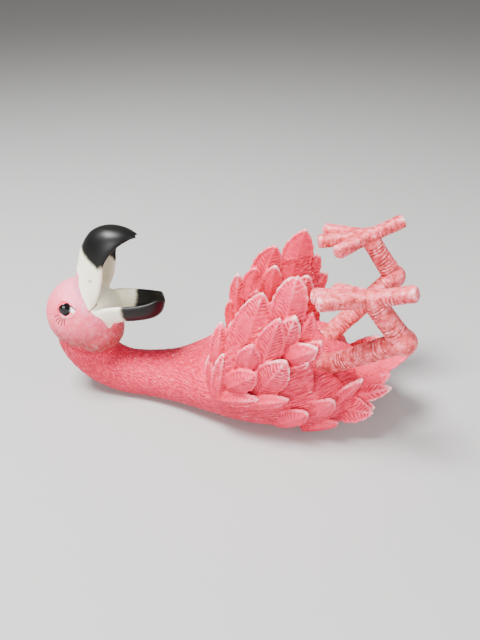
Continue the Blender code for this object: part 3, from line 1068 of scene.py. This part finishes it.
class Resin(Paint):
    """Pink paint worked into the carving and dry-brushed pale over it, with painted shade in the
    hollows, a painted highlight and painted shade on the face, and a cream and black bill.
    """

    def __init__(self):
        super().__init__("painted_resin")
        spot = self.node("ShaderNodeTexCoord", output="Object")
        self.spot = self.vector("MULTIPLY", spot, (1000, 1000, 1000))
        self.x, self.y, self.z = self.parts(self.spot)
        self.flow = self.attribute("flow", "Vector")
        self.rim = self.parts(self.flow)[2]
        self.zone, self.share, self.tone = self.parts(self.attribute("place", "Vector"))
        self.raised, self.stands, self.cut = (self.attribute(name) for name in ("raised", "open", "cut"))
        self.cream, self.black = self.attribute("cream"), self.attribute("black")
        self.body, self.feather, self.leg, self.head, self.bill, self.eyeball = (
            self.zone.math("COMPARE", self.zone, float(number), 0.4) for number in range(6)
        )
        self.cloud = self.noise(self.spot, 0.22, 3.0, 0.6)
        self.fleck = self.noise(self.spot, 0.8, 3.0, 0.6)
        self.grit = self.noise(self.spot, 2.6, 2.0, 0.6)
        self.blotch = self.fleck * 0.8 + self.cloud * 2.0 - 1.4
        self.proud = self.stands.ease(0.0, 1.8)
        # Near a feather's root, under the feather that overlaps it: painted shade, used by the dry brush
        # and the wash.
        self.root = self.share.ease(0.6, 0.05) * self.feather
        self.long_haired = self.x.ease(-35, 15)
        self.strand = self.strokes_of_down()

    def strokes_of_down(self):
        """Short flecks on the neck, long hairs on the flank and the wing."""
        hair = self.noise(self.vector("MULTIPLY", self.flow, (0.085, 0.7, 0.7)), 1.0, 2.0, 0.6)
        dash = self.noise(self.vector("MULTIPLY", self.flow, (0.22, 0.72, 0.72)), 1.0, 1.0, 0.6)
        return hair * self.long_haired + dash * (1 - self.long_haired)

    def dry_brush(self):
        """How pale the dry brush leaves the surface, and how far it goes on to white."""
        feather, fleck, cloud = self.feather, self.fleck, self.cloud
        light_strand = self.body * self.strand.ease(0.5, 0.6)
        tip = self.share.ease(0.3, 1.0) * feather
        edge = self.rim.ease(1.5, 0.1) * feather * self.share.ease(0.45, 0.95)
        high = self.raised.ease(0.0, 0.3)
        caught = high * (1 - feather * self.share.ease(0.8, 0.2) * 0.7)
        dry = (fleck - 0.5) * 2.0 + (cloud - 0.5) * 1.6 + (self.tone - 0.5) * 0.9 * feather
        # Less pale at the feathers' roots: painted shade under the overlapping feathers.
        pale = caught * 0.6 + self.proud * 0.35 + tip * 0.5 - self.root * 0.4 - self.cut * 0.7
        pale = pale + dry * 0.9 - 0.46 + self.leg * (high * 0.35 + 0.45 + self.blotch)
        pale = pale + light_strand * 0.95 - self.body * 0.25
        rims = (edge * fleck.ease(0.4, 0.65) * 0.85 + tip * 0.4) * high * cloud.ease(0.35, 0.65)
        shins = self.leg * high * fleck.ease(0.42, 0.62) * 0.55
        return pale, rims + shins + (pale - 0.7) * 0.9 + light_strand * (pale - 0.25) * 1.9

    def wash_and_shade(self):
        """How deep the wash lies in the carving, with painted shade in the broad hollows and at the
        feathers' roots.
        """
        dark_strand = self.body * self.strand.ease(0.5, 0.38)
        mottle = self.noise(self.spot, 0.06, 3.0)
        # Wash and painted shade: the broad hollows between forms, where shade falls, and the fine
        # hollows of the carving go deep pink.
        sunk = self.stands.ease(0.0, -1.5) * 1.1 + self.raised.ease(0.0, -0.3) * 0.7
        # The feathers' roots, under the feathers that overlap them, get painted shade; the long-haired
        # body gets a little less.
        deep = sunk + self.cut * 0.5 + self.root * 0.6 - self.body * self.long_haired * 0.25
        deep = deep + dark_strand * 1.5 - self.proud * 0.15
        return deep + (0.5 - self.cloud) * 1.2 + (mottle - 0.5) * 0.5

    def pink(self):
        """The paint of body, feathers and legs."""
        pale, chalk = self.dry_brush()
        deep = self.wash_and_shade()
        pink = self.blend(self.cloud, rgb(240, 40, 84), rgb(250, 64, 100))
        pink = self.blend(self.leg, pink, rgb(232, 84, 90))
        # Deep pink of the wash in the carving, also the painted shade in the hollows and at the
        # feathers' roots.
        pink = self.blend(deep, pink, rgb(200, 14, 56))
        pink = self.blend(self.leg * (deep - self.leg * self.blotch * 1.3), pink, rgb(160, 48, 50))
        pink = self.blend(pale, pink, rgb(255, 144, 162))
        return self.blend(chalk, pink, rgb(255, 218, 214))

    def skin(self):
        """The face: a painted highlight paler towards the crown, a lilac patch by the bill, a pink cheek
        and painted shade, dark brown, towards the underside.
        """
        skin = self.blend(self.cloud, rgb(244, 72, 102), rgb(255, 110, 134))
        # Painted highlight: the head paler towards its top, where the light falls.
        skin = self.blend(self.z.ease(92, 124) * 0.75, skin, rgb(255, 150, 174))
        # Painted shade: the head dark brown towards its underside, where the light doesn't reach.
        skin = self.blend(self.z.ease(86, 58), skin, rgb(156, 38, 42))
        lilac = self.cream.ease(-14, -2) * self.cloud.ease(0.35, 0.6) * self.z.ease(74, 96)
        skin = self.blend(lilac * 0.5, skin, rgb(226, 140, 186))
        skin = self.blend((self.fleck + self.cloud).ease(0.95, 1.25) * 0.35, skin, rgb(255, 176, 188))
        skin = self.blend(self.fleck.ease(0.46, 0.3) * 0.35, skin, rgb(222, 60, 86))
        skin = self.blend(self.raised.ease(0.05, 0.3) * 0.6, skin, rgb(255, 222, 222))
        return self.blend(self.cut * 0.6, skin, rgb(190, 60, 70))

    def bill_over(self, colour, skin):
        """The colour with the bill over it, how far a spot is bill and how far it is black."""
        wobble = (self.noise(self.spot, 0.35, 4.0, 0.65) - 0.5) * 3.4
        stain = self.noise(self.spot, 0.12, 3.0).ease(0.45, 0.8)
        horn = self.blend(stain * 0.4, rgb(255, 250, 226), rgb(234, 208, 164))
        horn = self.blend(self.fleck.ease(0.6, 0.8) * 0.3, horn, rgb(206, 176, 136))
        ink = self.blend(self.grit * 0.5, rgb(6, 6, 6), rgb(16, 15, 14))
        is_bill = self.bill.most(self.head) * self.cream.ease(-0.3, 0.3)
        is_black = self.bill * (self.black + wobble).ease(-1.2, 1.6)
        soot = self.bill * (self.black + wobble).ease(-3.4, 0.4)
        colour = self.blend(is_bill, colour, horn)
        colour = self.blend(self.bill * (1 - is_bill), colour, skin)
        colour = self.blend(soot * 0.85, colour, rgb(96, 92, 70))
        colour = self.blend(is_black, colour, ink)
        return self.bill_marks_over(colour), is_bill, is_black

    def bill_marks_over(self, colour):
        """The nostril, and the tick at the corner of the mouth."""
        off_x, off_z = self.x - NOSTRIL[0], self.z - NOSTRIL[1]
        nostril = (off_x**2.0 + (off_z * 1.6) ** 2.0 + (self.fleck - 0.5) * 5.0).ease(6.0, 1.0)
        nostril = nostril * self.bill * self.y.ease(12.0, -12.0)
        colour = self.blend(nostril * 0.6, colour, rgb(120, 104, 78))
        tick = stroke_paint(self.x, self.z, *MOUTH_TICK).ease(1.0, 0.4) * self.bill.most(self.head)
        return self.blend(tick * 0.8, colour, rgb(150, 62, 52))

    def eye_over(self, colour):
        """The colour with the eye over it: iris, white corner, lid line and lashes; and the iris."""
        x, z = self.x - EYE_SPOT[0], self.z - EYE_SPOT[1]
        near_eye = self.head.most(self.eyeball)
        iris = ((x / 5.2) ** 2.0 + (z / 5.3) ** 2.0).ease(1.06, 0.94) * near_eye
        under_lid = (z + x * LID_SLOPE - 4.3).ease(0.2, -0.2)
        corner = under_lid * (z + 1.9).ease(-0.3, 0.3) * x.ease(1.0, 2.0) * x.ease(9.6, 8.8) * near_eye
        lashes = stroke_paint(self.x, self.z, *LASHES[0])
        for lash in LASHES[1:]:
            lashes = lashes.least(stroke_paint(self.x, self.z, *lash))
        lashes = lashes.ease(0.8, 0.35) * near_eye
        lid_line = abs(z + x * LID_SLOPE - 4.7).ease(0.8, 0.4) * near_eye
        lid_line = lid_line * x.ease(-1.0, 0.5) * x.ease(10.5, 9.0)
        colour = self.blend(lashes * 0.85, colour, rgb(140, 46, 48))
        colour = self.blend(corner, colour, rgb(252, 248, 244))
        colour = self.blend(lid_line, colour, rgb(84, 34, 34))
        return self.blend(iris, colour, rgb(8, 7, 7)), iris

    def finished(self):
        """The material, with its colours, gloss and fine grain joined to the shader."""
        skin = self.skin()
        colour = self.blend(self.head, self.pink(), skin)
        colour, is_bill, is_black = self.bill_over(colour, skin)
        colour, iris = self.eye_over(colour)
        gloss = is_black.most(iris)
        rough = 0.5 + (self.fleck - 0.5) * 0.2 - is_bill * 0.1
        rough = rough * (1 - gloss) + gloss * (0.4 - iris * 0.33)
        grain = self.cloud * 0.3 + self.fleck * 0.5 + self.grit * 0.25 + self.body * self.strand * 3.0
        grain = grain * (1 - gloss * 0.8) * (1 - is_bill * 0.7)
        bump = self.node("ShaderNodeBump", inputs={"Strength": 0.8, "Distance": 0.0008, "Height": grain})
        self.set(Base_Color=colour, Roughness=rough, Coat_Weight=iris * 0.3, Normal=bump)
        self.set(Coat_Roughness=0.05, Specular_IOR_Level=0.3)
        return self.material


def casting():
    forms = figure()
    skin, tree, owners = fuse(forms)
    dense, stand = carve(skin, forms, tree, owners)
    mesh = dressed(skin, forms, tree, owners, dense, stand)
    mesh.materials.clear()
    mesh.materials.append(Resin().finished())
    piece = bpy.data.objects.new("casting", mesh)
    bpy.context.scene.collection.objects.link(piece)
    print("casting", len(mesh.polygons), "triangles")
    return piece


def lay_floor():
    """A pale paper floor."""
    mesh = bmesh.new()
    bmesh.ops.create_grid(mesh, x_segments=1, y_segments=1, size=20.0)
    data = bpy.data.meshes.new("floor")
    mesh.to_mesh(data)
    mesh.free()
    floor = bpy.data.objects.new("floor", data)
    bpy.context.scene.collection.objects.link(floor)
    paper = Paint("pale_paper")
    paper.set(Base_Color=(0.46, 0.455, 0.45, 1.0), Roughness=0.8)
    data.materials.append(paper.material)


def hang_lights():
    """The soft lamps and the room's own light."""
    for name, place, target, size, power in LAMPS:
        light = bpy.data.lights.new(name, "AREA")
        light.size = size
        light.energy = power
        lamp = bpy.data.objects.new(name, light)
        lamp.location = place
        lamp.rotation_euler = (Vector(target) - Vector(place)).to_track_quat("-Z", "Y").to_euler()
        bpy.context.scene.collection.objects.link(lamp)
    world = bpy.data.worlds.new("room")
    world.use_nodes = True
    room = world.node_tree.nodes["Background"]
    room.inputs["Color"].default_value = (1.0, 0.98, 0.96, 1.0)
    room.inputs["Strength"].default_value = ROOM_LIGHT
    bpy.context.scene.world = world


def set_camera():
    """The photograph's view."""
    lens = bpy.data.cameras.new("photograph")
    lens.lens = CAMERA_LENS
    lens.sensor_width = 36.0
    view = bpy.data.objects.new("photograph", lens)
    forward = Vector(CAMERA_FORWARD).normalized()
    right = Vector(CAMERA_RIGHT).normalized()
    turn = Matrix((right, right.cross(forward), -forward)).transposed().to_4x4()
    view.matrix_world = Matrix.Translation(CAMERA_PLACE) @ turn
    bpy.context.scene.collection.objects.link(view)
    bpy.context.scene.camera = view


lay_floor()
hang_lights()
set_camera()
bird = casting()
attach(bird, "root")
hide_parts("flamingo")
